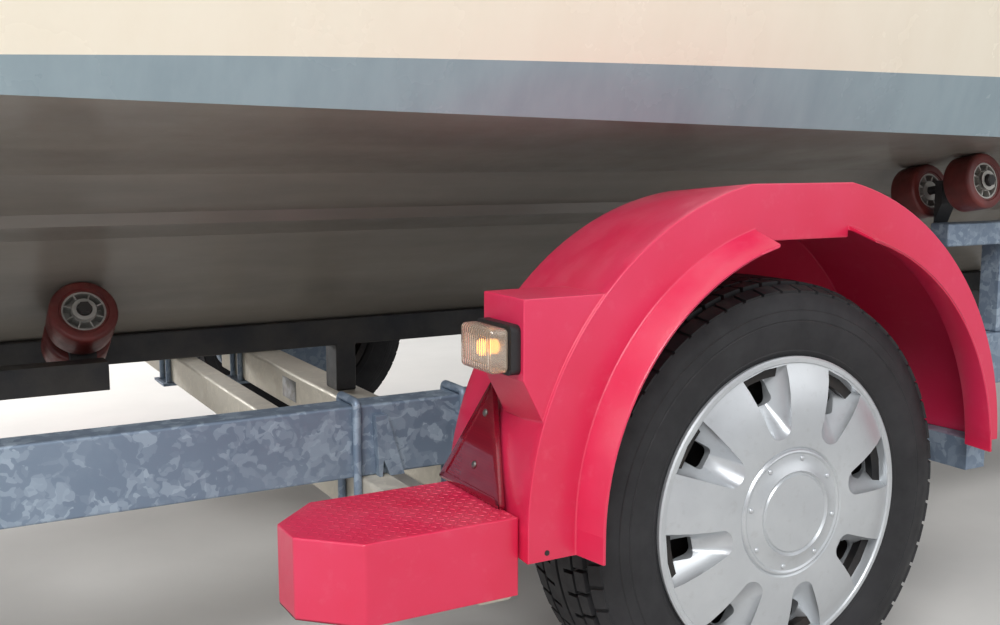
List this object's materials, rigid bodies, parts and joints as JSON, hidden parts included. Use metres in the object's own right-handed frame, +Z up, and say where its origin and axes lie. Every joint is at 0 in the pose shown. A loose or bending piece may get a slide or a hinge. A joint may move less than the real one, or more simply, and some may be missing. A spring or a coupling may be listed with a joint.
{
  "type": "small open speedboat with an outboard engine on a single-axle road trailer",
  "caption": "Open speedboat with an outboard engine, windscreen and bow rail, parked on a galvanised road trailer with red mudguards and step boxes.",
  "frame": {"origin": "on the ground, under the middle of the overall box, 0.54 m ahead of the trailer's axle", "axes": "+X towards the bow and the coupling, +Y to port, +Z up"},
  "size_m": [6.62, 2.13, 1.7656],
  "materials": {
    "gelcoat": "satin",
    "deck_gelcoat": "satin",
    "galvanised": "spangled",
    "dark_steel": "satin",
    "red_moulding": "satin",
    "tyre": "matte",
    "rim": "satin",
    "wheel_trim": "satin metallic",
    "brake_iron": "matte",
    "black_plastic": "matte",
    "roller": "satin",
    "clear_lens": "gloss",
    "red_lens": "gloss",
    "stainless": "polished",
    "screen": "gloss",
    "vinyl": "satin",
    "floor": "grip pattern",
    "rub_strake": "matte",
    "rubber": "matte",
    "webbing": "woven",
    "engine_paint": "satin",
    "cowl": "gloss",
    "propeller": "satin",
    "grey_rim": "satin"
  },
  "bodies": {
    "boat_on_trailer": {"hull": "gelcoat", "deck": "deck_gelcoat", "seat_boxes": "deck_gelcoat", "side_rails": "galvanised", "drawbar": "galvanised", "cross_tubes": "galvanised", "axle_tube": "galvanised", "swing_arms": "galvanised", "rail_clamps": "galvanised", "roller_arms": "galvanised", "winch_post": "galvanised", "jockey_column": "galvanised", "coupling_head": "galvanised", "brake_rod": "galvanised", "winch": "galvanised", "keel_beam": "dark_steel", "roller_brackets": "dark_steel", "handbrake": "dark_steel", "front_roller_arms": "dark_steel", "mudguard_left": "red_moulding", "mudguard_right": "red_moulding", "steps": "red_moulding", "marker_bases": "black_plastic", "dashboard": "black_plastic", "light_board": "black_plastic", "overrun_housing": "black_plastic", "hull_rollers": "roller", "marker_lenses": "clear_lens", "reflectors": "red_lens", "rear_lamps": "red_lens", "bow_rail": "stainless", "deck_fittings": "stainless", "windscreen_frame": "stainless", "windscreen_glass": "screen", "seat_cushions": "vinyl", "bench_cushions": "vinyl", "cockpit_floor": "floor", "rub_rail": "rub_strake", "windscreen_base": "rub_strake", "shaft_gaiter": "rubber", "bow_stop": "rubber", "winch_strap": "webbing", "engine_clamp": "engine_paint"},
    "wheel_left": {"tyre_left": "tyre", "rim_left": "rim", "hubcap_left": "wheel_trim", "drum_left": "brake_iron"},
    "wheel_right": {"tyre_right": "tyre", "rim_right": "rim", "hubcap_right": "wheel_trim", "drum_right": "brake_iron"},
    "jockey_swivel_fork": {"jockey_fork": "galvanised"},
    "jockey_wheel": {"jockey_tyre": "tyre", "jockey_hub": "grey_rim"},
    "outboard_bracket": {"engine_swivel": "engine_paint"},
    "outboard": {"engine_leg": "engine_paint", "engine_cowl": "cowl"},
    "propeller_body": {"propeller": "propeller"},
    "helm": {"helm_wheel": "black_plastic"},
    "locker_cover": {"locker_lid": "deck_gelcoat"}
  },
  "joints": [
    {"name": "wheel_left_spin", "type": "hinge", "parent": "boat_on_trailer", "child": "wheel_left", "pos_m": [-0.54, 0.914, 0.2965], "axis": [0, 1, 0], "continuous": true},
    {"name": "wheel_right_spin", "type": "hinge", "parent": "boat_on_trailer", "child": "wheel_right", "pos_m": [-0.54, -0.914, 0.2965], "axis": [0, 1, 0], "continuous": true},
    {"name": "jockey_swivel", "type": "hinge", "parent": "boat_on_trailer", "child": "jockey_swivel_fork", "pos_m": [2.42, 0.112, 0.25], "axis": [0, 0, 1], "continuous": true},
    {"name": "jockey_wheel_spin", "type": "hinge", "parent": "jockey_swivel_fork", "child": "jockey_wheel", "pos_m": [2.378, 0.112, 0.1], "axis": [0, 1, 0], "continuous": true},
    {"name": "outboard_tilt", "type": "hinge", "parent": "boat_on_trailer", "child": "outboard_bracket", "pos_m": [-2.47, 0, 1.004], "axis": [0, 1, 0], "range_deg": [0, 65]},
    {"name": "outboard_steer", "type": "hinge", "parent": "outboard_bracket", "child": "outboard", "pos_m": [-2.585, 0, 0.9], "axis": [0, 0, 1], "range_deg": [-30, 30]},
    {"name": "propeller_spin", "type": "hinge", "parent": "outboard", "child": "propeller_body", "pos_m": [-2.88, 0, 0.28], "axis": [1, 0, 0], "continuous": true},
    {"name": "helm_turn", "type": "hinge", "parent": "boat_on_trailer", "child": "helm", "pos_m": [-0.095, -0.33, 1.262], "axis": [-0.8829, 0, 0.4695], "range_deg": [-540, 540]},
    {"name": "locker_lid_hinge", "type": "hinge", "parent": "boat_on_trailer", "child": "locker_cover", "pos_m": [1.47433, 0, 1.56589], "axis": [0, -1, 0], "range_deg": [0, 100]}
  ],
  "couplings": [
    {"joint": "helm_turn", "follows": "outboard_steer", "ratio": -18}
  ]
}
